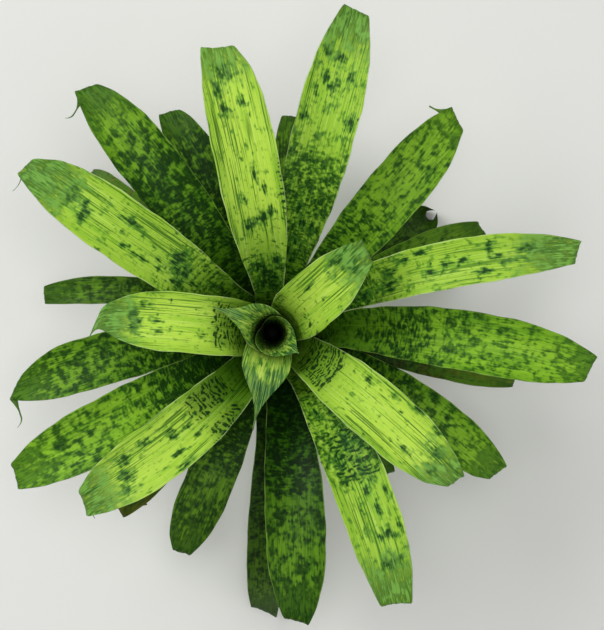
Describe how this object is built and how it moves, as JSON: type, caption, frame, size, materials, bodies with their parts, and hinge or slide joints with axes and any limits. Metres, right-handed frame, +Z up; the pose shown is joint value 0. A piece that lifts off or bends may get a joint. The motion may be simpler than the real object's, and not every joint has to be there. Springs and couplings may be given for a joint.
{
  "type": "smudge pattern goudaea ospinae",
  "caption": "Upright rosette of arching strap leaves with smudged markings round a short cut stem, the youngest rolled into a cup.",
  "frame": {"origin": "middle of the stem's flat cut end, on the surface that the plant rests on", "axes": "+Z up the stem's axis, out of the rosette's cup; +X to the right and +Y to the top of the reference view, which looks straight down"},
  "size_m": [0.4572, 0.4979, 0.2869],
  "materials": {
    "heart_leaf": "satin living leaf, yellow-green streaked blue-green towards the tip",
    "bright_leaf": "satin living leaf, lime green smudged with bottle green",
    "mature_leaf": "satin living leaf, mid green with crowded dark bands",
    "shaded_leaf": "satin living leaf, dark green with crowded dark bands",
    "stem": "dull fibrous stem with a pale cut end"
  },
  "bodies": {
    "root": {"stem": "stem", "leaf_01": "heart_leaf", "leaf_02": "heart_leaf", "leaf_03": "heart_leaf", "leaf_04": "bright_leaf", "leaf_05": "bright_leaf", "leaf_06": "bright_leaf", "leaf_07": "bright_leaf", "leaf_08": "bright_leaf", "leaf_09": "bright_leaf", "leaf_10": "bright_leaf", "leaf_11": "bright_leaf", "leaf_12": "bright_leaf", "leaf_13": "mature_leaf", "leaf_14": "mature_leaf", "leaf_15": "mature_leaf", "leaf_16": "mature_leaf", "leaf_17": "mature_leaf", "leaf_18": "mature_leaf", "leaf_19": "mature_leaf", "leaf_20": "mature_leaf", "leaf_21": "shaded_leaf", "leaf_22": "shaded_leaf", "leaf_23": "shaded_leaf", "leaf_24": "shaded_leaf", "leaf_25": "shaded_leaf", "leaf_26": "shaded_leaf", "leaf_27": "shaded_leaf", "leaf_28": "shaded_leaf", "leaf_29": "shaded_leaf", "leaf_30": "shaded_leaf"}
  },
  "joints": []
}
